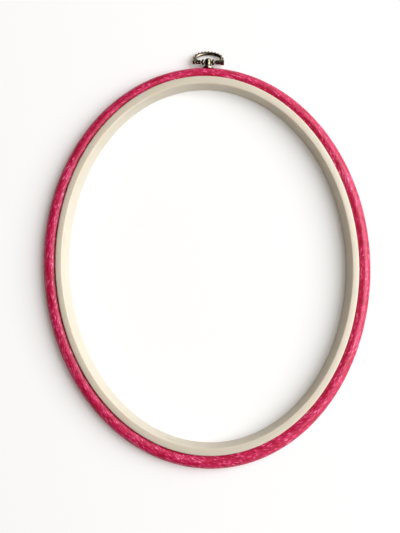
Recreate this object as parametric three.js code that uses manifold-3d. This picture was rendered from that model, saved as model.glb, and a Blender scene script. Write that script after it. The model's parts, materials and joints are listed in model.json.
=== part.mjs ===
import * as THREE from "three";
import { mergeVertices } from "three/addons/utils/BufferGeometryUtils.js";
import Module from "manifold-3d";

// An oval flexible embroidery hoop, in millimetres, lying face up on a table.
// A rigid inner hoop carries the fabric, a stretchy rubber hoop grips it from outside,
// and a hanger on the rubber hoop's upper end holds a hanging ring that swings freely.
// +X runs across the oval, +Y along it towards the hanger, and +Z up from the table.

const wasm = await Module();
wasm.setup();

// Inner hoop: the window is measured at its top edge, the crest.
const windowWidth = 161.4;
const windowLength = 202.5;
const lipSideWidth = 3.8; // top face, from the crest out to the lip's edge
const lipEndWidth = 4.5;
const lipDrop = 0.5; // how far the top face slopes down to its outer rounding
const lipRise = 2.6; // from the lip's lower edge up to the crest
const lipOverhang = 1.0; // how far the lip stands out over the grip wall
const lipRound = 0.8;
const wallSideDraft = 2.7; // how far the window narrows from the crest to the foot
const wallEndDraft = 1.6;
const crestRound = 0.4;
const footChamfer = 0.5;

// Rubber hoop: the stretched rubber is narrowest at the hanger and widest at the oval's foot and left.
const rubberDepth = 8.4;
const rubberRightWidth = 7.5;
const rubberHangerWidth = 6.4;
const rubberLeftWidth = 8.5;
const rubberFootWidth = 8.6;
const rubberShoulderDrop = 3.4; // from the top down to where the flat inside starts
const seatGap = 0.3; // between pieces that grip or seat on each other

// Hanger: a post through the rubber hoop, with a crossbar for the hanging ring.
const hangerOffset = 5.65; // sideways from the oval's upper end
const barHeight = 3.35; // crossbar axis above the rubber
const pinRadius = 0.7;
const bearingGap = 0.1;
const postRadius = 1.9;
const postDome = 2.4; // dome's top beyond the crossbar axis
const shankRadius = 1.0;
const shankTail = 0.15; // how far the shank's tip stays inside the anchor nut's face
const ferruleRadius = 3.3;
const ferruleHeight = 1.4;
const ferruleRim = 0.3; // the rim's straight edge, above the rubber
const ferruleInset = 0.4; // how far its flat base is let into the rubber
const nutRadius = 2.4;
const nutThickness = 1.0;

// Crossbar, from the post outwards: bead, hanging ring's sleeve, end cap.
const postToBead = 0.3;
const beadRadius = 1.65;
const beadThickness = 1.4;
const beadToSleeve = 0.6;
const sleeveRadius = 1.25;
const sleeveLength = 2.8;
const sleeveToCap = 0.3;
const capRadius = 1.25;
const capLength = 1.5;
const capEndWall = 0.4;
const capChamfer = 0.2;

// Hanging ring: an oval wire, open at the crossbar, with studs round the outer edge of its upper face.
const ringHalfWidth = 7.2; // of its centreline
const ringReach = 6.65; // from the crossbar's axis out to its centreline's far side
const wireRadius = 1.1;
const studHeight = 0.4;
const studPitch = 1.7;
const studTilt = 45; // degrees from the oval's rim up towards its upper face
const studFocus = 4; // how steeply the studs fall away across the wire
const tableGap = 0.05; // under the ring's tip, which lies on the table

// Facets.
const ovalSteps = 96;
const lipSteps = 3;
const rubberQuarterSteps = 4;
const shoulderSteps = 3;
const latheSteps = 20;
const profileSteps = 6;
const studSteps = 6;
const wireSides = 8;
const weldDistance = 1e-4;

const ivory = { color: 0xe9e2d0, roughness: 0.45, metalness: 0 };
const crimson = { color: 0xc0204f, roughness: 0.5, metalness: 0 };
const antiqueMetal = { color: 0x6e6253, roughness: 0.3, metalness: 1 };

// Solids.

function solidFrom(geometry) {
  const bare = geometry.clone();
  bare.deleteAttribute("normal");
  bare.deleteAttribute("uv");
  const merged = mergeVertices(bare, weldDistance);
  return new wasm.Manifold(
    new wasm.Mesh({
      numProp: 3,
      vertProperties: merged.attributes.position.array,
      triVerts: new Uint32Array(merged.index.array),
    }),
  );
}

function geometryFrom(solid) {
  const mesh = solid.getMesh();
  const geometry = new THREE.BufferGeometry();
  geometry.setAttribute("position", new THREE.BufferAttribute(new Float32Array(mesh.vertProperties), 3));
  geometry.setIndex(new THREE.BufferAttribute(new Uint32Array(mesh.triVerts), 1));
  geometry.computeVertexNormals();
  return geometry;
}

function piece(name, geometry, finish) {
  const mesh = new THREE.Mesh(geometry, new THREE.MeshStandardMaterial(finish));
  mesh.name = name;
  return mesh;
}

// Revolves a profile of [radius, height] points round +Y.
function turned(profile) {
  return new THREE.LatheGeometry(
    profile.map(([radius, height]) => new THREE.Vector2(radius, height)),
    latheSteps,
  );
}

// Revolves a profile of [radius, distance] points round +X.
function turnedAlongX(profile) {
  return turned(profile).rotateZ(-Math.PI / 2);
}

function cylinderAlongX(radius, from, to) {
  return turnedAlongX([[0, from], [radius, from], [radius, to], [0, to]]);
}

// Joins the loops of points that a section leaves along a path into a skin.
// Each loop runs anticlockwise as seen looking back along the path.
function skinLoops(loops, closed) {
  const sides = loops[0].length;
  const positions = loops.flat().flatMap((p) => [p.x, p.y, p.z]);
  const index = [];
  const spans = closed ? loops.length : loops.length - 1;
  for (let i = 0; i < spans; i++) {
    const here = i * sides;
    const next = ((i + 1) % loops.length) * sides;
    for (let j = 0; j < sides; j++) {
      const k = (j + 1) % sides;
      index.push(here + j, next + j, next + k, here + j, next + k, here + k);
    }
  }
  if (!closed) {
    const last = (loops.length - 1) * sides;
    for (let j = 1; j < sides - 1; j++) {
      index.push(0, j, j + 1);
      index.push(last, last + j + 1, last + j);
    }
  }
  const geometry = new THREE.BufferGeometry();
  geometry.setAttribute("position", new THREE.Float32BufferAttribute(positions, 3));
  geometry.setIndex(index);
  return geometry;
}

// The oval that everything is laid out from is the inner hoop's grip wall.

const gripHalfWidth = windowWidth / 2 + lipSideWidth - lipOverhang;
const gripHalfLength = windowLength / 2 + lipEndWidth - lipOverhang;

// Blends a size from its value at the oval's sides to its value at the ends.
function sideToEnd(side, end, angle) {
  return THREE.MathUtils.lerp(side, end, Math.sin(angle) ** 2);
}

function gripWallAt(angle) {
  const point = new THREE.Vector3(gripHalfWidth * Math.cos(angle), gripHalfLength * Math.sin(angle), 0);
  const normal = new THREE.Vector3(gripHalfLength * Math.cos(angle), gripHalfWidth * Math.sin(angle), 0);
  return { point, normal: normal.normalize() };
}

// Sweeps a section of [outward, up] points, anticlockwise, round the oval.
function sweptRoundOval(sectionAt) {
  const loops = [];
  for (let i = 0; i < ovalSteps; i++) {
    const angle = (2 * Math.PI * i) / ovalSteps;
    const { point, normal } = gripWallAt(angle);
    loops.push(
      sectionAt(angle).map(([outward, up]) =>
        point.clone().addScaledVector(normal, outward).setZ(up),
      ),
    );
  }
  return skinLoops(loops, true);
}

// Rubber hoop.

function rubberWidthAt(angle) {
  const side = Math.cos(angle) > 0 ? rubberRightWidth : rubberLeftWidth;
  return sideToEnd(side, Math.sin(angle) > 0 ? rubberHangerWidth : rubberFootWidth, angle);
}

// Height of the narrowest section's top at a distance out from its flat inside, within the shoulder.
function rubberShoulderHeight(outward) {
  const share = 1 - outward / (rubberHangerWidth / 2);
  return rubberDepth - rubberShoulderDrop * (1 - Math.sqrt(1 - share ** 2));
}

// A round-backed section, tallest at half its width, its flat inside standing at the seat gap.
function rubberSectionAt(angle) {
  const reach = rubberWidthAt(angle) / 2;
  const middle = seatGap + reach;
  const halfDepth = rubberDepth / 2;
  const points = [];
  const addQuarter = (quarter, across, upward, centreHeight, steps) => {
    for (let i = 0; i <= steps; i++) {
      const turn = (Math.PI / 2) * (quarter + i / steps);
      points.push([middle + across * Math.cos(turn), centreHeight + upward * Math.sin(turn)]);
    }
  };
  addQuarter(-1, reach, halfDepth, halfDepth, rubberQuarterSteps);
  points.pop();
  addQuarter(0, reach, halfDepth, halfDepth, rubberQuarterSteps);
  points.pop();
  addQuarter(1, reach, rubberShoulderDrop, rubberDepth - rubberShoulderDrop, shoulderSteps);
  addQuarter(2, reach, rubberShoulderDrop, rubberShoulderDrop, shoulderSteps);
  points.pop();
  return points;
}

// Hanger's place: its own +Y points straight out of the rubber, and its +X along the rim.

const hangerAngle = Math.acos(hangerOffset / (gripHalfWidth + rubberHangerWidth));
const hangerSeat = gripWallAt(hangerAngle);
const rubberAtHanger = rubberWidthAt(hangerAngle);

function makeHangerFrame() {
  const frame = new THREE.Group();
  frame.position
    .copy(hangerSeat.point)
    .addScaledVector(hangerSeat.normal, seatGap + rubberAtHanger)
    .setZ(rubberDepth / 2);
  frame.rotation.z = Math.atan2(hangerSeat.normal.y, hangerSeat.normal.x) - Math.PI / 2;
  frame.updateMatrix();
  return frame;
}

const hanger = makeHangerFrame();

// The rubber hoop, bored for the post's shank, and let in for its ferrule outside and nut inside.
function makeRubberHoop() {
  const inside = -rubberAtHanger;
  const pocketRadius = nutRadius + seatGap;
  const pocketDepth = seatGap + nutThickness + seatGap;
  const shankHole = shankRadius + seatGap;
  const seatRadius = ferruleRadius + seatGap;
  const seatDepth = ferruleInset + seatGap;
  const cutter = turned([
    [0, inside - seatGap],
    [pocketRadius, inside - seatGap],
    [pocketRadius, inside + pocketDepth],
    [shankHole, inside + pocketDepth],
    [shankHole, -seatDepth],
    [seatRadius, -seatDepth],
    [seatRadius, ferruleHeight],
    [0, ferruleHeight],
  ]);
  cutter.applyMatrix4(hanger.matrix);
  return geometryFrom(solidFrom(sweptRoundOval(rubberSectionAt)).subtract(solidFrom(cutter)));
}

// Inner hoop: its lip seats over the rubber hoop's shoulder.

function innerSectionAt(angle) {
  const lipBottom = rubberShoulderHeight(lipOverhang - seatGap) + seatGap;
  const crestHeight = lipBottom + lipRise;
  const roundTop = crestHeight - lipDrop;
  const crest = lipOverhang - sideToEnd(lipSideWidth, lipEndWidth, angle);
  const foot = crest - sideToEnd(wallSideDraft, wallEndDraft, angle);
  const section = new THREE.Shape();
  section.moveTo(foot + footChamfer, 0);
  section.lineTo(-footChamfer, 0);
  section.lineTo(0, footChamfer);
  section.lineTo(0, lipBottom - lipOverhang);
  section.lineTo(lipOverhang, lipBottom);
  section.lineTo(lipOverhang, roundTop - lipRound);
  section.quadraticCurveTo(lipOverhang, roundTop, lipOverhang - lipRound, roundTop);
  section.lineTo(crest + crestRound, crestHeight);
  section.quadraticCurveTo(crest, crestHeight, crest, crestHeight - crestRound);
  section.lineTo(foot, footChamfer);
  section.closePath();
  const points = section.getPoints(lipSteps).map((p) => [p.x, p.y]);
  points.pop();
  return points;
}

// Post, ferrule and nut, along the hanger's +Y.

function makePost() {
  const tip = -rubberAtHanger + seatGap + shankTail;
  const shoulder = ferruleHeight + seatGap;
  const domeStart = barHeight + pinRadius + bearingGap;
  const domeHeight = barHeight + postDome - domeStart;
  const profile = [[0, tip], [shankRadius, tip], [shankRadius, shoulder], [postRadius, shoulder]];
  for (let i = 0; i < profileSteps; i++) {
    const turn = (Math.PI / 2) * (i / profileSteps);
    profile.push([postRadius * Math.cos(turn), domeStart + domeHeight * Math.sin(turn)]);
  }
  profile.push([0, domeStart + domeHeight]);
  const eye = cylinderAlongX(pinRadius + bearingGap, -2 * postRadius, 2 * postRadius);
  eye.translate(0, barHeight, 0);
  return geometryFrom(solidFrom(turned(profile)).subtract(solidFrom(eye)));
}

// A trumpet-shaped collar between the rubber and the post.
function makeFerrule() {
  const bore = shankRadius + bearingGap;
  const flareWidth = ferruleRadius - postRadius;
  const flareHeight = ferruleHeight - ferruleRim;
  const profile = [[bore, -ferruleInset], [ferruleRadius, -ferruleInset]];
  for (let i = 0; i <= profileSteps; i++) {
    const turn = (Math.PI / 2) * (i / profileSteps);
    profile.push([
      ferruleRadius - flareWidth * Math.sin(turn),
      ferruleRim + flareHeight * (1 - Math.cos(turn)),
    ]);
  }
  profile.push([bore, ferruleHeight], [bore, -ferruleInset]);
  return turned(profile);
}

function makeNut() {
  const bore = shankRadius + bearingGap;
  const inside = -rubberAtHanger + seatGap;
  const outside = inside + nutThickness;
  return turned([[bore, inside], [nutRadius, inside], [nutRadius, outside], [bore, outside], [bore, inside]]);
}

// Crossbar pieces, along the hanger's +X, laid out from the post outwards.

const barBore = pinRadius + bearingGap;
const beadStart = postRadius + postToBead;
const sleeveStart = beadStart + beadThickness + beadToSleeve;
const sleeveEnd = sleeveStart + sleeveLength;
const capStart = sleeveEnd + sleeveToCap;
const barEnd = capStart + capLength;

function makePin() {
  const end = barEnd - capEndWall - bearingGap;
  return cylinderAlongX(pinRadius, -end, end);
}

// A round-edged washer.
function makeBead(side) {
  const middle = side * (beadStart + beadThickness / 2);
  const profile = [];
  for (let i = 0; i <= profileSteps; i++) {
    const turn = Math.PI * (i / profileSteps - 0.5);
    profile.push([
      barBore + (beadRadius - barBore) * ((1 + Math.cos(turn)) / 2),
      middle + (beadThickness / 2) * Math.sin(turn),
    ]);
  }
  profile.unshift([barBore, middle - beadThickness / 2]);
  profile.push([barBore, middle + beadThickness / 2], [barBore, middle - beadThickness / 2]);
  return turnedAlongX(profile);
}

// A blind cap over the pin's end.
function makeCap(side) {
  const cap = turnedAlongX([
    [0, barEnd - capEndWall],
    [barBore, barEnd - capEndWall],
    [barBore, capStart],
    [capRadius, capStart],
    [capRadius, barEnd - capChamfer],
    [capRadius - capChamfer, barEnd],
    [0, barEnd],
  ]);
  return side > 0 ? cap : cap.rotateZ(Math.PI);
}

// Hanging ring, flat in its own XY plane: an oval wire bent round from sleeve to sleeve.

// The wire's centreline, which runs into the middle of both sleeves.
function ringOval() {
  const foot = (sleeveStart + sleeveEnd) / 2;
  const fall = Math.sqrt(1 - (foot / ringHalfWidth) ** 2);
  const halfHeight = ringReach / (1 + fall);
  const sweep = Math.PI - Math.asin(foot / ringHalfWidth);
  const [from, to] = [Math.PI / 2 - sweep, Math.PI / 2 + sweep];
  return new THREE.EllipseCurve(0, ringReach - halfHeight, ringHalfWidth, halfHeight, from, to);
}

function makeRing() {
  const oval = ringOval();
  const steps = studSteps * Math.round(oval.getLength() / studPitch);
  const tilt = THREE.MathUtils.degToRad(studTilt);
  const loops = [];
  for (let i = 0; i <= steps; i++) {
    const middle = oval.getPointAt(i / steps);
    const along = oval.getTangentAt(i / steps);
    const studsFromTip = (i - steps / 2) / studSteps;
    const swell = (1 + Math.cos(2 * Math.PI * studsFromTip)) / 2;
    const loop = [];
    for (let j = 0; j < wireSides; j++) {
      const turn = (2 * Math.PI * j) / wireSides;
      const stud = studHeight * swell * Math.max(0, Math.cos(turn - tilt)) ** studFocus;
      const outward = (wireRadius + stud) * Math.cos(turn);
      loop.push(
        new THREE.Vector3(
          middle.x + outward * along.y,
          middle.y - outward * along.x,
          (wireRadius + stud) * Math.sin(turn),
        ),
      );
    }
    loops.push(loop);
  }
  let ring = solidFrom(skinLoops(loops, false));
  const alongBar = (side, radius, from, to) =>
    solidFrom(cylinderAlongX(radius, Math.min(side * from, side * to), Math.max(side * from, side * to)));
  for (const side of [-1, 1]) {
    ring = ring.add(alongBar(side, sleeveRadius, sleeveStart, sleeveEnd));
  }
  for (const side of [-1, 1]) {
    ring = ring.subtract(alongBar(side, barBore, 0, barEnd));
    ring = ring.subtract(alongBar(side, beadRadius + seatGap, 0, sleeveStart));
    ring = ring.subtract(alongBar(side, capRadius + seatGap, sleeveEnd, barEnd + sleeveToCap));
  }
  return geometryFrom(ring);
}

// Assembly.

// The crossbar is at half the rubber's depth, so the ring slopes down from it to lie on the table.
const lyingRing = new THREE.Group();
lyingRing.rotation.x = -Math.asin((rubberDepth / 2 - wireRadius - tableGap) / ringReach);
lyingRing.add(piece("hanging_ring", makeRing(), antiqueMetal));

const crossbar = new THREE.Group();
crossbar.position.y = barHeight;
crossbar.add(
  piece("crossbar_pin", makePin(), antiqueMetal),
  piece("bead_left", makeBead(-1), antiqueMetal),
  piece("bead_right", makeBead(1), antiqueMetal),
  piece("end_cap_left", makeCap(-1), antiqueMetal),
  piece("end_cap_right", makeCap(1), antiqueMetal),
  lyingRing,
);

hanger.add(
  piece("post", makePost(), antiqueMetal),
  piece("ferrule", makeFerrule(), antiqueMetal),
  piece("anchor_nut", makeNut(), antiqueMetal),
  crossbar,
);

const oval = new THREE.Group();
oval.add(
  piece("inner_hoop", sweptRoundOval(innerSectionAt), ivory),
  piece("rubber_hoop", makeRubberHoop(), crimson),
  hanger,
);

// The part's origin is the middle of its whole footprint, on the table.
const footprint = new THREE.Box3().setFromObject(oval, true);
const middle = footprint.getCenter(new THREE.Vector3());
oval.position.set(-middle.x, -middle.y, -footprint.min.z);

const hoop = new THREE.Group();
hoop.add(oval);

export default hoop;
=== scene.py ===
# Dresses an oval flexible embroidery hoop: fine meshes, finishes, floor, lights and camera.
# Sizes are in millimetres unless a comment says metres, and MM turns them into Blender's metres.
import json
import math

import bmesh
import bpy
import numpy as np
from mathutils import Matrix, Vector, noise


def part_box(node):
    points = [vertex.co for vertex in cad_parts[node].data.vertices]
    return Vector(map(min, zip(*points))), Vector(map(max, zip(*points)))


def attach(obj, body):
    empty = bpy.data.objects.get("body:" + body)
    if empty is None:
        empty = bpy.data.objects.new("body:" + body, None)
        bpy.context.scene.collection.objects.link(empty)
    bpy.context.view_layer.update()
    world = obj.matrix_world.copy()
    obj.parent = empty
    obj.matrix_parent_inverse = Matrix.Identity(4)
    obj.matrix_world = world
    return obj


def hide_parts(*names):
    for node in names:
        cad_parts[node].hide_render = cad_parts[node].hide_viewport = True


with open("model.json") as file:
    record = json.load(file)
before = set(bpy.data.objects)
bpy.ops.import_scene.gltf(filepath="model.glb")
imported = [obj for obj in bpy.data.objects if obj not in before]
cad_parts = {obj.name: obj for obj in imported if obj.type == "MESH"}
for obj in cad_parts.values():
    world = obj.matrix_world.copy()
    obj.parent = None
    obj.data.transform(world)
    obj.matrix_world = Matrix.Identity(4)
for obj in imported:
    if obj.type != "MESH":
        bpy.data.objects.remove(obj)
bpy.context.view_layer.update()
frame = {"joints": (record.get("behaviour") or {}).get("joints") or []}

MM = 0.001
UP = Vector((0, 0, 1))

# Inner hoop. The lip's width and the wall's draft differ between the oval's sides and its ends.
LIP_SIDE_WIDTH = 3.8
LIP_END_WIDTH = 4.5
LIP_RISE = 2.6  # from the lip's underside up to its inner crest
LIP_DROP = 0.5  # from the inner crest down to the outer edge
LIP_OVERHANG = 1.0
LIP_ROUND = 0.8
LIP_LOWER_ROUND = 0.25
LIP_UNDER_ROUND = 0.4
LIP_CROWN = 0.12
WALL_SIDE_DRAFT = 2.7
WALL_END_DRAFT = 1.6
CREST_ROUND = 0.6
FOOT_ROUND = 0.5

# Rubber hoop. Its width differs between the right, the hanger's end, the left and the foot.
RUBBER_DEPTH = 8.4
RUBBER_RIGHT_WIDTH = 7.5
RUBBER_HANGER_WIDTH = 6.4
RUBBER_LEFT_WIDTH = 8.5
RUBBER_FOOT_WIDTH = 8.6
SHOULDER_DROP = 3.4
SEAT_GAP = 0.3
GRAIN_DEPTH = 0.09

# Hanger, seen from the crossbar's middle: x along the bar, y out from the hoop, z up.
BAR_TO_RUBBER = 3.35
PIN_RADIUS = 0.7
BEARING_GAP = 0.1
POST_RADIUS = 1.9
POST_DOME = 2.4
SHANK_RADIUS = 1.0
SHANK_TAIL = 0.15
FERRULE_RADIUS = 3.3
FERRULE_HEIGHT = 1.4
FERRULE_RIM = 0.3
FERRULE_INSET = 0.4
NUT_RADIUS = 2.4
NUT_THICKNESS = 1.0
BEAD_RADIUS = 1.65
BEAD_THICKNESS = 1.4
BEAD_ROUND = 0.4
POST_TO_BEAD = 0.3
BEAD_TO_SLEEVE = 0.6
SLEEVE_RADIUS = 1.25
SLEEVE_LENGTH = 2.8
SLEEVE_TO_CAP = 0.3
CAP_RADIUS = 1.25
CAP_LENGTH = 1.5
CAP_END_WALL = 0.4
CAP_ROUND = 0.3
EDGE_ROUND = 0.12

# Hanging ring: an oval wire that slopes down to the table, with studs round its outer edge.
RING_HALF_WIDTH = 7.35
RING_REACH = 6.5
WIRE_RADIUS = 1.0
STUD_RADIUS = 0.66
STUD_HEIGHT = 0.58
STUD_PITCH = 1.7
STUD_TILT = math.radians(15)
RING_DROP = 3.05  # from the crossbar's axis down to the ring's tip
RING_SLOPE = math.asin(RING_DROP / RING_REACH)

# Bores with room for the crossbar's pin and for the post's shank.
PIN_BORE = PIN_RADIUS + BEARING_GAP
SHANK_BORE = SHANK_RADIUS + BEARING_GAP

# Where the bar's pieces start and end, measured from its middle.
BEAD_START = POST_RADIUS + POST_TO_BEAD
SLEEVE_START = BEAD_START + BEAD_THICKNESS + BEAD_TO_SLEEVE
SLEEVE_END = SLEEVE_START + SLEEVE_LENGTH
CAP_START = SLEEVE_END + SLEEVE_TO_CAP
BAR_END = CAP_START + CAP_LENGTH
CUT_START = 0.01  # keeps the cuts of the two sides apart

# How finely the shapes are divided.
STRAIGHT_SHARES = (0.06, 0.25, 0.5, 0.75, 0.94)
ARC_STEPS = 6
LIP_ARC_STEPS = 7
CURVE_STEPS = 25
TURN_STEPS = 96
INNER_STEPS = 480
RUBBER_STEPS = 820
RUBBER_QUARTER_STEPS = 22
RUBBER_SHOULDER_STEPS = 15
RUBBER_INSIDE_STEPS = 12
RING_STEPS = 300
RING_CURVE_STEPS = 2000
WIRE_STEPS = 56
STUD_ROWS = 16
STUD_SIDES = 28
WELD_DISTANCE = 1e-7  # metres

# The oval that everything is laid out from is the inner hoop's grip wall.
inner_low, inner_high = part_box("inner_hoop")
HALF_WIDTH = (inner_high.x - inner_low.x) / 2 / MM - LIP_OVERHANG
HALF_LENGTH = (inner_high.y - inner_low.y) / 2 / MM - LIP_OVERHANG
OVAL_MIDDLE = (inner_low + inner_high).xy.to_3d() / 2 / MM

# The crossbar's frame stands on the ring's hinge.
swing = next(joint for joint in frame["joints"] if joint["name"] == "hanging_ring_swing")
bar_axis = Vector(swing["axis"])
bar_outward = UP.cross(bar_axis)
CROSSBAR = Matrix((bar_axis, bar_outward, UP)).transposed().to_4x4()
CROSSBAR.translation = Vector(swing["pos_m"])
HANGER_ANGLE = math.atan2(bar_outward.y * HALF_LENGTH, bar_outward.x * HALF_WIDTH)


def full_turn(steps):
    """Angles evenly round a full turn."""
    return np.linspace(0, 2 * math.pi, steps, endpoint=False)


def side_to_end(side, end, angles):
    """A size at angles round the oval that goes smoothly from its sides to its ends."""
    return side + (end - side) * np.sin(angles) ** 2


def rubber_width(angles):
    sides = np.where(np.cos(angles) > 0, RUBBER_RIGHT_WIDTH, RUBBER_LEFT_WIDTH)
    ends = np.where(np.sin(angles) > 0, RUBBER_HANGER_WIDTH, RUBBER_FOOT_WIDTH)
    return side_to_end(sides, ends, angles)


# The rubber's outer and inner side where the shank goes through it, in the crossbar's frame.
RUBBER_OUTSIDE = -BAR_TO_RUBBER
RUBBER_INSIDE = RUBBER_OUTSIDE - float(rubber_width(HANGER_ANGLE))


# Outlines.


def corner_arc(previous, here, following, radius, steps):
    """Points of the arc that rounds the corner at here, between its neighbours on the outline."""
    before = previous - here
    after = following - here
    before /= np.linalg.norm(before)
    after /= np.linalg.norm(after)
    half = math.acos(np.clip(before @ after, -1, 1)) / 2
    bisector = (before + after) / np.linalg.norm(before + after)
    centre = here + bisector * radius / math.sin(half)
    start = here + before * radius / math.tan(half) - centre
    end = here + after * radius / math.tan(half) - centre
    sweep = math.pi - 2 * half
    arc = []
    for step in range(steps + 1):
        share = step / steps
        spoke = start * math.sin((1 - share) * sweep) + end * math.sin(share * sweep)
        arc.append(centre + spoke / math.sin(sweep))
    return arc


def rounded(corners, steps=ARC_STEPS, closed=True):
    """Points of an outline of corners (x, y, radius), each rounded by an arc, with its straight
    stretches divided at STRAIGHT_SHARES."""
    count = len(corners)
    places = [np.array(corner[:2], float) for corner in corners]
    arcs = []
    for index, (_, _, radius) in enumerate(corners):
        here = places[index]
        following = places[(index + 1) % count]
        if radius == 0:
            arcs.append([here])
        else:
            arcs.append(corner_arc(places[index - 1], here, following, radius, steps))
    points = []
    for index, arc in enumerate(arcs):
        points.extend(arc)
        if closed or index < count - 1:
            stretch = arcs[(index + 1) % count][0] - arc[-1]
            points.extend(arc[-1] + stretch * share for share in STRAIGHT_SHARES)
    return np.array(points)


# Meshes.


def linked(name, data):
    """A new object in the scene."""
    item = bpy.data.objects.new(name, data)
    bpy.context.scene.collection.objects.link(item)
    return item


def grid_faces(rows, columns, rows_close):
    """Quads over rows of points that each close on themselves. The last row joins the first one
    where rows_close is true."""
    row = np.arange(rows if rows_close else rows - 1)[:, None]
    column = np.arange(columns)[None, :]
    below = (row + 1) % rows
    beside = (column + 1) % columns
    quads = (
        row * columns + column,
        below * columns + column,
        below * columns + beside,
        row * columns + beside,
    )
    return np.stack(np.broadcast_arrays(*quads), -1).reshape(-1, 4)


def object_from(name, points, faces, place=Matrix.Identity(4)):
    """An object from points in millimetres, put in its place by a matrix in metres."""
    mesh = bpy.data.meshes.new(name)
    world = np.asarray(points, float).reshape(-1, 3) * MM
    turn = np.array(place.to_3x3())
    world = world @ turn.T + np.array(place.translation)
    mesh.from_pydata(world.tolist(), [], [list(map(int, face)) for face in faces])
    shape = bmesh.new()
    shape.from_mesh(mesh)
    bmesh.ops.remove_doubles(shape, verts=shape.verts, dist=WELD_DISTANCE)
    bmesh.ops.recalc_face_normals(shape, faces=shape.faces)
    shape.to_mesh(mesh)
    shape.free()
    return linked(name, mesh)


def turned(name, profile, axis, place=CROSSBAR, steps=TURN_STEPS):
    """Revolves a profile of [radius, height] round the x or y axis of its frame."""
    profile = np.asarray(profile, float)
    turn = full_turn(steps)[:, None]
    radius, height = profile[None, :, 0], profile[None, :, 1]
    along = np.broadcast_to(height, (steps, len(profile)))
    first, second = radius * np.cos(turn), radius * np.sin(turn)
    points = np.stack((along, first, second) if axis == "x" else (first, along, second), -1)
    return object_from(name, points, grid_faces(steps, len(profile), True), place)


def combined(piece, *changes):
    """The piece after joins and cuts with (operation, other) pairs; the others are used up."""
    for operation, other in changes:
        cut = piece.modifiers.new("cut", "BOOLEAN")
        cut.operation = operation
        cut.solver = "EXACT"
        cut.object = other
    bpy.context.view_layer.update()
    evaluated = piece.evaluated_get(bpy.context.evaluated_depsgraph_get())
    mesh = bpy.data.meshes.new_from_object(evaluated)
    mesh.name = piece.name
    piece.modifiers.clear()
    piece.data = mesh
    for _, other in changes:
        bpy.data.objects.remove(other)
    return piece


def together(pieces):
    """One object from several that don't touch."""
    joined = bmesh.new()
    for piece in pieces:
        joined.from_mesh(piece.data)
    joined.to_mesh(pieces[0].data)
    joined.free()
    for piece in pieces[1:]:
        bpy.data.objects.remove(piece)
    return pieces[0]


def vectors_of(mesh, field):
    """A vector for each vertex: its place, where the field is co, or its normal."""
    flat = np.empty(len(mesh.vertices) * 3)
    mesh.vertices.foreach_get(field, flat)
    return flat.reshape(-1, 3)


def store(mesh, name, values):
    """Keeps a number or a vector for each vertex under a name that materials can read."""
    values = np.asarray(values, float)
    kind, field = ("FLOAT", "value") if values.ndim == 1 else ("FLOAT_VECTOR", "vector")
    mesh.attributes.new(name, kind, "POINT").data.foreach_set(field, values.ravel())


# Edges that turn by more than this shade as sharp ones.
SHARP_DEGREES = 35
RUBBER_SHARP_DEGREES = 45
RING_SHARP_DEGREES = 50


def shade(mesh, sharp_degrees):
    mesh.shade_smooth()
    mesh.set_sharp_from_angle(angle=math.radians(sharp_degrees))


def finish_surface(piece, sharp_degrees=SHARP_DEGREES):
    """Shades the piece and stores a mask of its tightly bent edges: where metal wears bright, and where
    the ivory gets a painted highlight.
    """
    shade(piece.data, sharp_degrees)
    store(piece.data, "wear_and_painted_highlight", edge_wear_and_painted_highlight(piece.data))
    return piece


# How far the surface bends, in radians per millimetre, where the metal's edge wear and the ivory's
# painted edge highlight start and where they are full.
WEAR_AND_HIGHLIGHT_STARTS = 1.1
WEAR_AND_HIGHLIGHT_FULL = 2.6
WEAR_AND_HIGHLIGHT_SMOOTHINGS = 3
LEAST_LENGTH_SQUARED = 1e-4


def edge_wear_and_painted_highlight(mesh):
    """From 0 on flats and hollows to 1 on edges, by how tightly the surface bends."""
    points = vectors_of(mesh, "co") / MM
    normals = vectors_of(mesh, "normal")
    ends = np.empty(len(mesh.edges) * 2, int)
    mesh.edges.foreach_get("vertices", ends)
    first, second = ends.reshape(-1, 2).T
    step = points[second] - points[first]
    length_squared = np.maximum((step**2).sum(1), LEAST_LENGTH_SQUARED)
    bend = np.zeros(len(points))
    count = np.zeros(len(points))
    np.add.at(bend, first, -2 * (normals[first] * step).sum(1) / length_squared)
    np.add.at(bend, second, 2 * (normals[second] * step).sum(1) / length_squared)
    np.add.at(count, first, 1)
    np.add.at(count, second, 1)
    bend /= np.maximum(count, 1)
    for _ in range(WEAR_AND_HIGHLIGHT_SMOOTHINGS):
        total = np.zeros(len(points))
        np.add.at(total, first, bend[second])
        np.add.at(total, second, bend[first])
        bend = (bend + total / np.maximum(count, 1)) / 2
    return np.clip((bend - WEAR_AND_HIGHLIGHT_STARTS) / (WEAR_AND_HIGHLIGHT_FULL - WEAR_AND_HIGHLIGHT_STARTS), 0, 1)


# The two hoops.


def swept_round_oval(name, angles, sections):
    """Sweeps [outward, up] sections, one for each angle, round the oval."""
    across, along = np.cos(angles), np.sin(angles)
    normal = np.stack((HALF_LENGTH * across, HALF_WIDTH * along), -1)
    normal /= np.linalg.norm(normal, axis=1, keepdims=True)
    base = np.stack((HALF_WIDTH * across + OVAL_MIDDLE.x, HALF_LENGTH * along + OVAL_MIDDLE.y), -1)
    flat = base[:, None, :] + normal[:, None, :] * sections[..., :1]
    points = np.concatenate((flat, sections[..., 1:]), -1)
    return object_from(name, points, grid_faces(len(angles), sections.shape[1], True))


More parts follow.
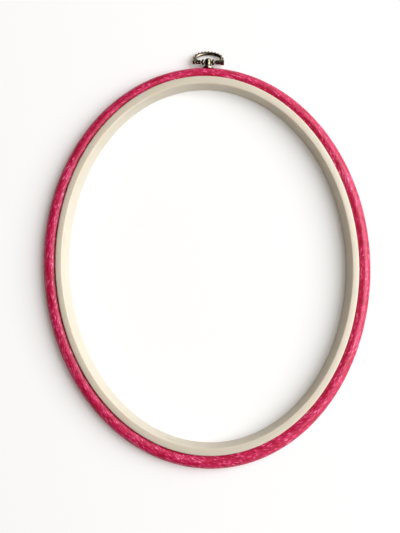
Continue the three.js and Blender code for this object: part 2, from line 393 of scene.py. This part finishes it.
def inner_section(lip_width, draft):
    """The inner hoop's section, its lip a seat gap above the rubber's shoulder at its highest."""
    share = 1 - (LIP_OVERHANG - SEAT_GAP) / (RUBBER_HANGER_WIDTH / 2)
    lip_bottom = RUBBER_DEPTH - SHOULDER_DROP * (1 - math.sqrt(1 - share**2)) + SEAT_GAP
    crest_height = lip_bottom + LIP_RISE
    crest = LIP_OVERHANG - lip_width
    points = rounded(
        [
            (crest - draft, 0, FOOT_ROUND),
            (0, 0, FOOT_ROUND),
            (0, lip_bottom - LIP_OVERHANG, LIP_UNDER_ROUND),
            (LIP_OVERHANG, lip_bottom, LIP_LOWER_ROUND),
            (LIP_OVERHANG, crest_height - LIP_DROP, LIP_ROUND),
            (crest, crest_height, CREST_ROUND),
        ],
        steps=LIP_ARC_STEPS,
    )
    # The crown is a parabola over the lip, highest halfway across.
    in_from_edge = np.clip((LIP_OVERHANG - points[:, 0]) / lip_width, 0, 1)
    on_top = points[:, 1] > lip_bottom
    points[:, 1] += np.where(on_top, LIP_CROWN * 4 * in_from_edge * (1 - in_from_edge), 0)
    return points


def make_inner_hoop():
    angles = full_turn(INNER_STEPS)
    lips = side_to_end(LIP_SIDE_WIDTH, LIP_END_WIDTH, angles)
    drafts = side_to_end(WALL_SIDE_DRAFT, WALL_END_DRAFT, angles)
    sections = np.array([inner_section(lip, draft) for lip, draft in zip(lips, drafts)])
    return finish_surface(swept_round_oval("inner_hoop_moulding", angles, sections))


def rubber_section(width):
    """A D-shaped section, its flat inside standing at the seat gap."""
    reach = width / 2
    middle = SEAT_GAP + reach
    points = []

    def add_quarter(quarter, upward, centre, steps):
        turn = math.pi / 2 * (quarter + np.arange(steps) / steps)
        points.extend(zip(middle + reach * np.cos(turn), centre + upward * np.sin(turn)))

    half = RUBBER_DEPTH / 2
    shoulder = RUBBER_DEPTH - SHOULDER_DROP
    add_quarter(-1, half, half, RUBBER_QUARTER_STEPS)
    add_quarter(0, half, half, RUBBER_QUARTER_STEPS)
    add_quarter(1, SHOULDER_DROP, shoulder, RUBBER_SHOULDER_STEPS)
    inside = np.linspace(shoulder, SHOULDER_DROP, RUBBER_INSIDE_STEPS, endpoint=False)
    points.extend((SEAT_GAP, height) for height in inside)
    add_quarter(2, SHOULDER_DROP, SHOULDER_DROP, RUBBER_SHOULDER_STEPS)
    return np.array(points)


# The rubber's marbling runs along the hoop, so its noise is read on a ring whose girth is small.
GRAIN_RING = 15
GRAIN_ACROSS = 0.66
GRAIN_TWIST = 5


def grain_at(points, twist):
    """Noise coordinates that follow the hoop round, for points in millimetres."""
    across = (points[:, 0] - OVAL_MIDDLE.x) / HALF_WIDTH
    along = (points[:, 1] - OVAL_MIDDLE.y) / HALF_LENGTH
    reach = np.hypot(across, along)
    angle = np.arctan2(along, across)
    outward = (reach - 1) * (HALF_WIDTH + HALF_LENGTH) / 2 - SEAT_GAP - RUBBER_DEPTH / 2
    upward = points[:, 2] - RUBBER_DEPTH / 2
    turn = twist * angle
    turned_out = outward * np.cos(turn) - upward * np.sin(turn)
    turned_up = outward * np.sin(turn) + upward * np.cos(turn)
    ring = GRAIN_RING + turned_out * GRAIN_ACROSS
    return np.stack((ring * np.cos(angle), ring * np.sin(angle), turned_up * GRAIN_ACROSS), -1)


# The moulded grain: fine creases, and a slow swell that makes them deeper and shallower.
CREASE_SCALE = 1.9
CREASE_NARROWNESS = 3.2
CREASE_SHARPNESS = 1.5
CREASE_SHARE = 0.65
SWELL_SCALE = 0.8
SWELL_OFFSET = Vector((7, 3, 5))
SWELL_SHARE = 0.35


def grain_relief(grain):
    """How deep the moulded grain is at each point, from 0 to 1."""
    places = [Vector(place) for place in grain]
    lines = np.array([noise.noise(place * CREASE_SCALE) for place in places])
    swell = np.array([noise.noise(place * SWELL_SCALE + SWELL_OFFSET) for place in places])
    creases = np.clip(1 - np.abs(lines) * CREASE_NARROWNESS, 0, 1) ** CREASE_SHARPNESS
    return np.clip(CREASE_SHARE * creases + SWELL_SHARE * (0.5 + swell), 0, 1)


def make_rubber_hoop():
    """The rubber with its moulded grain, and with the room for the hanger cut from it."""
    angles = full_turn(RUBBER_STEPS)
    sections = np.array([rubber_section(width) for width in rubber_width(angles)])
    piece = swept_round_oval("rubber_hoop_moulding", angles, sections)
    points = vectors_of(piece.data, "co")
    relief = grain_relief(grain_at(points / MM, GRAIN_TWIST))
    points -= vectors_of(piece.data, "normal") * (relief * GRAIN_DEPTH * MM)[:, None]
    piece.data.vertices.foreach_set("co", points.ravel())
    piece.data.update()
    store(piece.data, "relief", relief)
    combined(piece, ("DIFFERENCE", make_hanger_cutter()))
    shade(piece.data, RUBBER_SHARP_DEGREES)
    points = vectors_of(piece.data, "co") / MM
    store(piece.data, "grain", grain_at(points, GRAIN_TWIST))
    store(piece.data, "fibre", grain_at(points, 0))
    return piece


def make_hanger_cutter():
    """What is cut from the rubber: a spot face, a hole for the shank and a pocket for the nut."""
    start = RUBBER_INSIDE - SEAT_GAP
    pocket = NUT_RADIUS + SEAT_GAP
    pocket_end = RUBBER_INSIDE + SEAT_GAP + NUT_THICKNESS + SEAT_GAP
    hole = SHANK_RADIUS + SEAT_GAP
    seat = FERRULE_RADIUS + SEAT_GAP
    seat_end = RUBBER_OUTSIDE - FERRULE_INSET - SEAT_GAP
    clear = RUBBER_OUTSIDE + FERRULE_HEIGHT
    profile = [
        (0, start),
        (pocket, start),
        (pocket, pocket_end),
        (hole, pocket_end),
        (hole, seat_end),
        (seat, seat_end),
        (seat, clear),
        (0, clear),
    ]
    return turned("hanger_cutter", profile, "y")


# The hanger's pieces.


def make_post():
    """A domed post on its shank, with an eye across it for the pin."""
    tip = RUBBER_INSIDE + SEAT_GAP + SHANK_TAIL
    shoulder = RUBBER_OUTSIDE + FERRULE_HEIGHT + SEAT_GAP
    dome_start = PIN_BORE
    corners = [
        (0, tip, 0),
        (SHANK_RADIUS, tip, EDGE_ROUND),
        (SHANK_RADIUS, shoulder, 0),
        (POST_RADIUS, shoulder, EDGE_ROUND),
        (POST_RADIUS, dome_start, 0),
    ]
    profile = list(rounded(corners, closed=False))
    for turn in np.linspace(0, math.pi / 2, CURVE_STEPS)[1:]:
        height = dome_start + (POST_DOME - dome_start) * math.sin(turn)
        profile.append((POST_RADIUS * math.cos(turn), height))
    eye_end = 2 * POST_RADIUS
    eye = [(0, -eye_end), (PIN_BORE, -eye_end), (PIN_BORE, eye_end), (0, eye_end)]
    post = turned("hanger_post", profile, "y")
    return finish_surface(combined(post, ("DIFFERENCE", turned("eye", eye, "x"))))


def make_ferrule():
    """A trumpet-shaped collar between the rubber and the post."""
    base = RUBBER_OUTSIDE - FERRULE_INSET
    flare_width = FERRULE_RADIUS - POST_RADIUS
    flare_height = FERRULE_HEIGHT - FERRULE_RIM
    corners = [
        (SHANK_BORE, base, EDGE_ROUND),
        (FERRULE_RADIUS, base, EDGE_ROUND),
        (FERRULE_RADIUS, RUBBER_OUTSIDE, 0),
    ]
    profile = list(rounded(corners, closed=False)[1:])
    for turn in np.linspace(0, math.pi / 2, CURVE_STEPS):
        radius = FERRULE_RADIUS - flare_width * math.sin(turn)
        height = RUBBER_OUTSIDE + FERRULE_RIM + flare_height * (1 - math.cos(turn))
        profile.append((radius, height))
    profile.append((SHANK_BORE, RUBBER_OUTSIDE + FERRULE_HEIGHT))
    return finish_surface(turned("hanger_ferrule", profile, "y"))


def washer_profile(bore, radius, start, end, rim_round):
    """The section of a washer, its rim rounded by a radius of its own."""
    return rounded(
        [
            (bore, start, EDGE_ROUND),
            (radius, start, rim_round),
            (radius, end, rim_round),
            (bore, end, EDGE_ROUND),
        ]
    )


def make_nut():
    inside = RUBBER_INSIDE + SEAT_GAP
    outside = inside + NUT_THICKNESS
    profile = washer_profile(SHANK_BORE, NUT_RADIUS, inside, outside, CAP_ROUND)
    return finish_surface(turned("anchor_nut_disc", profile, "y"))


def make_bead(side, name):
    """A round-edged washer on the crossbar."""
    middle = side * (BEAD_START + BEAD_THICKNESS / 2)
    half = BEAD_THICKNESS / 2
    profile = washer_profile(PIN_BORE, BEAD_RADIUS, middle - half, middle + half, BEAD_ROUND)
    return finish_surface(turned(name, profile, "x"))


def make_cap(side, name):
    """A blind cap over the pin's end."""
    corners = [
        (0, BAR_END - CAP_END_WALL, 0),
        (PIN_BORE, BAR_END - CAP_END_WALL, 0),
        (PIN_BORE, CAP_START, EDGE_ROUND),
        (CAP_RADIUS, CAP_START, EDGE_ROUND),
        (CAP_RADIUS, BAR_END, CAP_ROUND),
        (0, BAR_END, 0),
    ]
    profile = rounded(corners, closed=False) * (1, side)
    return finish_surface(turned(name, profile, "x"))


def bar_cylinder(name, radius, start, end, place=CROSSBAR, edge=0.0):
    """A cylinder along the x axis of its frame, its rims rounded by the edge."""
    corners = [(0, start, 0), (radius, start, edge), (radius, end, edge), (0, end, 0)]
    return turned(name, rounded(corners, closed=False), "x", place)


def make_pin():
    end = BAR_END - CAP_END_WALL - BEARING_GAP
    return finish_surface(bar_cylinder("crossbar_rod", PIN_RADIUS, -end, end, edge=EDGE_ROUND))


def ring_oval():
    """The wire's centreline from one sleeve's middle to the other's, as points and as how far
    along it each is."""
    foot = (SLEEVE_START + SLEEVE_END) / 2
    half_height = RING_REACH / (1 + math.sqrt(1 - (foot / RING_HALF_WIDTH) ** 2))
    sweep = math.pi - math.asin(foot / RING_HALF_WIDTH)
    turn = np.linspace(-sweep, sweep, RING_CURVE_STEPS + 1)
    rise = RING_REACH - half_height
    points = np.stack((RING_HALF_WIDTH * np.sin(turn), rise + half_height * np.cos(turn)), -1)
    along = np.concatenate(([0], np.cumsum(np.linalg.norm(np.diff(points, axis=0), axis=1))))
    return points, along


def on_ring(marks, radius, turn):
    """Points at distances along the ring, at a radius from its centreline and a turn round it."""
    points, along = ring_oval()
    slope = np.gradient(points, axis=0)
    slope /= np.linalg.norm(slope, axis=1, keepdims=True)
    x, y, east, north = (np.interp(marks, along, values) for values in (*points.T, *slope.T))
    outward = radius * np.cos(turn)
    parts = (x - outward * north, y + outward * east, radius * np.sin(turn))
    return np.stack(np.broadcast_arrays(*parts), -1)


def make_studs(place):
    """Balls that stand out of the wire, one at the ring's tip and the rest evenly from there."""
    length = ring_oval()[1][-1]
    count = round(length / STUD_PITCH)
    marks = length * (0.5 + (np.arange(count) - count // 2) / count)
    sunk = WIRE_RADIUS + STUD_HEIGHT - STUD_RADIUS
    turns = np.linspace(0, math.pi, STUD_ROWS)
    profile = [(STUD_RADIUS * math.sin(turn), -STUD_RADIUS * math.cos(turn)) for turn in turns]
    studs = []
    for centre in on_ring(marks, sunk, STUD_TILT):
        stud_place = place @ Matrix.Translation(Vector(centre) * MM)
        studs.append(turned("stud", profile, "x", stud_place, STUD_SIDES))
    return together(studs)


def span(side, near, far):
    """Where a stretch of the bar starts and ends on the side -1 or 1."""
    return sorted((side * near, side * far))


def make_wire(place):
    """The bare wire, closed by a flat face at each end."""
    marks = np.linspace(0, ring_oval()[1][-1], RING_STEPS + 1)[:, None]
    turn = full_turn(WIRE_STEPS)[None, :]
    points = on_ring(marks, WIRE_RADIUS, turn)
    faces = [list(face) for face in grid_faces(RING_STEPS + 1, WIRE_STEPS, False)]
    last = RING_STEPS * WIRE_STEPS
    faces.append(list(range(WIRE_STEPS)))
    faces.append(list(range(last, last + WIRE_STEPS)))
    return object_from("hanging_ring_wire", points, faces, place)


def make_ring():
    """A studded wire bent round from sleeve to sleeve, sloping down from the crossbar to the
    table, with room cut for the pin, for the post and beads, and for the caps."""
    place = CROSSBAR @ Matrix.Rotation(-RING_SLOPE, 4, "X")
    ring = make_wire(place)
    changes = [("UNION", make_studs(place))]
    for side in (-1, 1):
        start, end = span(side, SLEEVE_START, SLEEVE_END)
        sleeve = bar_cylinder("sleeve", SLEEVE_RADIUS, start, end, place, EDGE_ROUND)
        changes.append(("UNION", sleeve))
    rooms = (
        (PIN_BORE, CUT_START, BAR_END),
        (BEAD_RADIUS + SEAT_GAP, CUT_START, SLEEVE_START),
        (CAP_RADIUS + SEAT_GAP, SLEEVE_END, BAR_END + SLEEVE_TO_CAP),
    )
    for side in (-1, 1):
        for radius, near, far in rooms:
            start, end = span(side, near, far)
            changes.append(("DIFFERENCE", bar_cylinder("cut", radius, start, end, place)))
    return finish_surface(combined(ring, *changes), RING_SHARP_DEGREES)


# Shader nodes.

WHITE = (1, 1, 1)

# Where a Mix node keeps its factor, its two colours and its mixed colour.
MIX_FACTOR = 0
MIX_FIRST = 6
MIX_SECOND = 7
MIX_RESULT = 2


def new_material(name):
    material = bpy.data.materials.new(name)
    material.use_nodes = True
    tree = material.node_tree
    return material, tree, tree.nodes["Principled BSDF"]


def add(tree, kind, inputs=None, **settings):
    """A new node. Each input takes a value or another node's output."""
    node = tree.nodes.new(kind)
    for key, value in settings.items():
        setattr(node, key, value)
    set_inputs(tree, node, inputs or {})
    return node


def set_inputs(tree, node, inputs):
    for key, value in inputs.items():
        if isinstance(value, bpy.types.NodeSocket):
            tree.links.new(value, node.inputs[key])
        else:
            node.inputs[key].default_value = value


def noise_of(tree, vector, scale, detail, rough=0.5, distortion=0.0):
    inputs = {
        "Vector": vector,
        "Scale": scale,
        "Detail": detail,
        "Roughness": rough,
        "Distortion": distortion,
    }
    return add(tree, "ShaderNodeTexNoise", inputs).outputs["Fac"]


def ramp(tree, factor, stops):
    """A colour ramp with stops of (position, colour)."""
    node = add(tree, "ShaderNodeValToRGB", {"Fac": factor})
    elements = node.color_ramp.elements
    while len(elements) < len(stops):
        elements.new(0.5)  # the loop below gives it its own position
    for element, (position, colour) in zip(elements, stops):
        element.position = position
        element.color = (*colour, 1)
    return node.outputs["Color"]


def remap(tree, value, low, high, to_low, to_high, ease="LINEAR"):
    inputs = {"Value": value, "From Min": low, "From Max": high, "To Min": to_low, "To Max": to_high}
    return add(tree, "ShaderNodeMapRange", inputs, interpolation_type=ease).outputs["Result"]


def mixed(tree, factor, first, second):
    """A mix of two colours, each of them a value or another node's output."""
    inputs = {MIX_FACTOR: factor}
    for key, colour in ((MIX_FIRST, first), (MIX_SECOND, second)):
        inputs[key] = colour if isinstance(colour, bpy.types.NodeSocket) else (*colour, 1)
    return add(tree, "ShaderNodeMix", inputs, data_type="RGBA").outputs[MIX_RESULT]


def calculate(tree, operation, first, second):
    return add(tree, "ShaderNodeMath", {0: first, 1: second}, operation=operation).outputs[0]


def attribute(tree, name, output="Fac"):
    return add(tree, "ShaderNodeAttribute", attribute_name=name).outputs[output]


def bump(tree, height, distance, strength):
    inputs = {"Height": height, "Distance": distance, "Strength": strength}
    return add(tree, "ShaderNodeBump", inputs).outputs["Normal"]


# Finishes. A noise scale counts cells in a metre of plastic or metal, and cells in one unit of
# grain_at on the rubber. Bumps are in metres.

# The values of a noise that are spread over a finish's own range, wide or narrow.
NOISE_WIDE = (0.3, 0.7)
NOISE_NARROW = (0.35, 0.65)

IVORY_STOPS = [(0.3, (0.70, 0.637, 0.527)), (0.7, (0.725, 0.66, 0.548))]
# The ivory's tightly bent edges get a painted highlight: a lighter ivory mixed in by the edge mask.
IVORY_PAINTED_HIGHLIGHT = (0.84, 0.80, 0.69)
IVORY_PAINTED_HIGHLIGHT_SHARE = 0.35
IVORY_ROUGHNESS = (0.36, 0.46)
IVORY_BUMP = 0.000012
IVORY_BUMP_STRENGTH = 0.5
IVORY_SPECULAR = 0.45
IVORY_DEPTH_SHARE = 0.5
IVORY_DEPTH = 0.0035  # metres that light goes in, times the colour below
IVORY_DEPTH_COLOUR = (1.0, 0.62, 0.34)


def ivory_plastic():
    material, tree, surface = new_material("ivory_plastic")
    where = add(tree, "ShaderNodeTexCoord").outputs["Object"]
    cloud = noise_of(tree, where, scale=45, detail=3)
    speck = noise_of(tree, where, scale=900, detail=2)
    grain = noise_of(tree, where, scale=2600, detail=2)
    # Painted highlight: the lighter ivory on the tightly bent edges.
    wear_and_painted_highlight = calculate(tree, "MULTIPLY", attribute(tree, "wear_and_painted_highlight"), IVORY_PAINTED_HIGHLIGHT_SHARE)
    inputs = {
        "Base Color": mixed(tree, wear_and_painted_highlight, ramp(tree, cloud, IVORY_STOPS), IVORY_PAINTED_HIGHLIGHT),
        "Roughness": remap(tree, speck, *NOISE_WIDE, *IVORY_ROUGHNESS),
        "Normal": bump(tree, grain, IVORY_BUMP, IVORY_BUMP_STRENGTH),
        "Specular IOR Level": IVORY_SPECULAR,
        "Subsurface Weight": IVORY_DEPTH_SHARE,
        "Subsurface Scale": IVORY_DEPTH,
        "Subsurface Radius": IVORY_DEPTH_COLOUR,
    }
    set_inputs(tree, surface, inputs)
    return material


RUBBER_STOPS = [
    (0.34, (0.32, 0.0005, 0.020)),
    (0.46, (0.49, 0.001, 0.046)),
    (0.55, (0.66, 0.003, 0.100)),
    (0.62, (0.82, 0.060, 0.22)),
    (0.70, (0.93, 0.40, 0.52)),
]
RUBBER_SUNK = (0.38, 0.001, 0.035)
RUBBER_SUNK_SHARE = 0.2
RUBBER_PATCH_SHIFT = (-0.05, 0.05)
RUBBER_THREAD_SHIFT = (-0.07, 0.07)
RUBBER_ROUGHNESS = (0.34, 0.50)
RUBBER_BUMP = 0.00006
RUBBER_BUMP_STRENGTH = 0.6
RUBBER_SPECULAR = 0.5


def crimson_rubber():
    """Pale wisps over crimson, shifted by wide patches and fine threads, darker in the grain."""
    material, tree, surface = new_material("crimson_rubber")
    grain = attribute(tree, "grain", "Vector")
    fibre = attribute(tree, "fibre", "Vector")
    wisps = noise_of(tree, grain, scale=2.3, detail=5, rough=0.62, distortion=0.4)
    patches = noise_of(tree, fibre, scale=0.6, detail=2)
    threads = noise_of(tree, fibre, scale=4.6, detail=4, rough=0.6, distortion=0.2)
    patch_shift = remap(tree, patches, *NOISE_NARROW, *RUBBER_PATCH_SHIFT)
    thread_shift = remap(tree, threads, *NOISE_WIDE, *RUBBER_THREAD_SHIFT)
    amount = calculate(tree, "ADD", calculate(tree, "ADD", wisps, patch_shift), thread_shift)
    sunk = calculate(tree, "MULTIPLY", attribute(tree, "relief"), RUBBER_SUNK_SHARE)
    inputs = {
        "Base Color": mixed(tree, sunk, ramp(tree, amount, RUBBER_STOPS), RUBBER_SUNK),
        "Roughness": remap(tree, threads, *NOISE_WIDE, *RUBBER_ROUGHNESS),
        "Normal": bump(tree, threads, RUBBER_BUMP, RUBBER_BUMP_STRENGTH),
        "Specular IOR Level": RUBBER_SPECULAR,
    }
    set_inputs(tree, surface, inputs)
    return material


METAL_STOPS = [(0.35, (0.09, 0.067, 0.04)), (0.6, (0.27, 0.22, 0.155))]
METAL_WORN = (0.52, 0.46, 0.37)
METAL_WEAR = (0.25, 0.9)
METAL_ROUGHNESS = (0.08, 0.18)
METAL_BUMP = 0.00001
METAL_BUMP_STRENGTH = 0.4


def antique_metal():
    """Dark patina, rubbed bright on the edges."""
    material, tree, surface = new_material("antique_metal")
    where = add(tree, "ShaderNodeTexCoord").outputs["Object"]
    patina = noise_of(tree, where, scale=700, detail=4, rough=0.6)
    grain = noise_of(tree, where, scale=4200, detail=2)
    rubbing = remap(tree, patina, *NOISE_WIDE, *METAL_WEAR)
    worn = calculate(tree, "MULTIPLY", attribute(tree, "wear_and_painted_highlight"), rubbing)
    inputs = {
        "Base Color": mixed(tree, worn, ramp(tree, patina, METAL_STOPS), METAL_WORN),
        "Metallic": 1.0,
        "Roughness": remap(tree, patina, *NOISE_NARROW, *METAL_ROUGHNESS),
        "Normal": bump(tree, grain, METAL_BUMP, METAL_BUMP_STRENGTH),
    }
    set_inputs(tree, surface, inputs)
    return material


def dress(piece, material, slot, body, *nodes):
    """Gives a piece its finish, hides the CAD nodes that it stands for and puts it on the body that it
    rides on.
    """
    piece.data.materials.clear()
    piece.data.materials.append(material)
    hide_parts(*nodes)
    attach(piece, body)


# Camera.

CAMERA_PLACE = (OVAL_MIDDLE + Vector((17.8, -17.97, 470.0))) * MM
CAMERA_AIM = (OVAL_MIDDLE + Vector((-3.78, -0.67, 0.0))) * MM
CAMERA_UP = Vector((0.0455, 0.998, 0.035))
CAMERA_FIELD = math.radians(35.57)  # over the image's long side
CAMERA_NEAR = 0.01  # metres
CAMERA_FAR = 20  # metres


def facing(place, aim, up=UP):
    """A matrix that stands at a place and looks along its own -Z at the aim."""
    back = (place - aim).normalized()
    right = up.cross(back).normalized()
    matrix = Matrix((right, back.cross(right), back)).transposed().to_4x4()
    matrix.translation = place
    return matrix


def make_camera():
    camera = bpy.data.cameras.new("camera")
    camera.lens = camera.sensor_width / 2 / math.tan(CAMERA_FIELD / 2)
    camera.clip_start = CAMERA_NEAR
    camera.clip_end = CAMERA_FAR
    holder = linked("camera", camera)
    holder.matrix_world = facing(CAMERA_PLACE, CAMERA_AIM, CAMERA_UP)
    bpy.context.scene.camera = holder


# Floor, with its sizes in metres. For the camera it glows more past what the lamp reaches well.

FLOOR_SIZE = 8.0
FLOOR_DROP = 0.00003
FLOOR_COLOUR = (0.92, 0.92, 0.925)
FLOOR_LIFT = 0.135
FLOOR_FADE_START = 0.6
FLOOR_FADE_END = 2.4
FLOOR_FADE_LEVEL = 0.85


def seen_directly(tree):
    """1 for rays that show a surface to the camera, straight, reflected or let through, else 0."""
    path = add(tree, "ShaderNodeLightPath")
    seen = calculate(tree, "MAXIMUM", path.outputs["Is Camera Ray"], path.outputs["Is Glossy Ray"])
    return calculate(tree, "MAXIMUM", seen, path.outputs["Is Transmission Ray"])


def floor_glow(tree):
    """The floor's own light: a little wherever it is seen, and for the camera more far out."""
    near = calculate(tree, "MULTIPLY", seen_directly(tree), FLOOR_LIFT)
    where = add(tree, "ShaderNodeTexCoord").outputs["Object"]
    distance = add(tree, "ShaderNodeVectorMath", {0: where}, operation="LENGTH").outputs["Value"]
    fade = remap(tree, distance, FLOOR_FADE_START, FLOOR_FADE_END, 0, FLOOR_FADE_LEVEL, "SMOOTHSTEP")
    camera_ray = add(tree, "ShaderNodeLightPath").outputs["Is Camera Ray"]
    return calculate(tree, "ADD", near, calculate(tree, "MULTIPLY", fade, camera_ray))


def make_floor():
    half = FLOOR_SIZE / 2
    corners = [(-half, -half), (half, -half), (half, half), (-half, half)]
    mesh = bpy.data.meshes.new("floor")
    mesh.from_pydata([(x, y, -FLOOR_DROP) for x, y in corners], [], [(0, 1, 2, 3)])
    material, tree, surface = new_material("floor")
    inputs = {
        "Base Color": (*FLOOR_COLOUR, 1),
        "Roughness": 1.0,
        "Specular IOR Level": 0.0,
        "Emission Color": (*WHITE, 1),
        "Emission Strength": floor_glow(tree),
    }
    set_inputs(tree, surface, inputs)
    mesh.materials.append(material)
    floor = linked("floor", mesh)


# Key lamp, with its distance and size in metres.

KEY_AIM = OVAL_MIDDLE * MM
KEY_BEARING = math.radians(7)
KEY_HEIGHT = math.radians(44)
KEY_DISTANCE = 3.0
KEY_SIZE = 3.05
KEY_POWER = 138.0
KEY_COLOUR = (0.96, 0.985, 1.0)


def make_key():
    key = bpy.data.lights.new("key", "AREA")
    key.shape = "SQUARE"
    key.size = KEY_SIZE
    key.energy = KEY_POWER
    key.color = KEY_COLOUR
    level = math.cos(KEY_HEIGHT)
    east = level * math.cos(KEY_BEARING)
    north = level * math.sin(KEY_BEARING)
    direction = Vector((east, north, math.sin(KEY_HEIGHT)))
    holder = linked("key", key)
    holder.matrix_world = facing(KEY_AIM + direction * KEY_DISTANCE, KEY_AIM)


# Studio round the object: what lights it softly, what shows behind it and what it reflects.

SKY_LEVEL = 0.17
SKY_COLOUR = (1.0, 0.82, 0.63)
HORIZON_LEVEL = 1.0
HORIZON_TOP = 0.55  # a ray's z where the backdrop has faded to the sky's level
DARK_SIDE = -0.1  # a ray's x where the reflected dark side ends
BRIGHT_SIDE = 0.5  # a ray's x where the reflected bright side is full
DARK_LEVEL = 0.0
BRIGHT_LEVEL = 2.2


def make_studio():
    world = bpy.data.worlds.new("studio")
    world.use_nodes = True
    tree = world.node_tree
    direction = add(tree, "ShaderNodeTexCoord").outputs["Generated"]
    where = add(tree, "ShaderNodeSeparateXYZ", {"Vector": direction})
    backdrop = remap(tree, where.outputs["Z"], 0.0, HORIZON_TOP, HORIZON_LEVEL, SKY_LEVEL)
    side = remap(tree, where.outputs["X"], DARK_SIDE, BRIGHT_SIDE, DARK_LEVEL, BRIGHT_LEVEL, "SMOOTHSTEP")
    glossy_ray = add(tree, "ShaderNodeLightPath").outputs["Is Glossy Ray"]
    shown = remap(tree, glossy_ray, 0, 1, backdrop, side)
    seen = seen_directly(tree)
    inputs = {
        "Color": mixed(tree, seen, SKY_COLOUR, WHITE),
        "Strength": remap(tree, seen, 0, 1, SKY_LEVEL, shown),
    }
    set_inputs(tree, tree.nodes["Background"], inputs)
    bpy.context.scene.world = world


# The scene.

ivory = ivory_plastic()
crimson = crimson_rubber()
metal = antique_metal()

dress(make_inner_hoop(), ivory, "ivory_plastic", "inner_hoop", "inner_hoop")
dress(make_rubber_hoop(), crimson, "crimson_rubber", "outer_hoop", "rubber_hoop")
dress(make_post(), metal, "antique_metal", "outer_hoop", "post")
dress(make_ferrule(), metal, "antique_metal", "outer_hoop", "ferrule")
dress(make_nut(), metal, "antique_metal", "outer_hoop", "anchor_nut")
dress(make_pin(), metal, "antique_metal", "outer_hoop", "crossbar_pin")
for side, word in ((-1, "left"), (1, "right")):
    dress(make_bead(side, f"washer_bead_{word}"), metal, "antique_metal", "outer_hoop", f"bead_{word}")
    dress(make_cap(side, f"blind_cap_{word}"), metal, "antique_metal", "outer_hoop", f"end_cap_{word}")
dress(make_ring(), metal, "antique_metal", "hanging_ring", "hanging_ring")

make_camera()
make_floor()
make_key()
make_studio()
bpy.context.scene.view_settings.view_transform = "Standard"
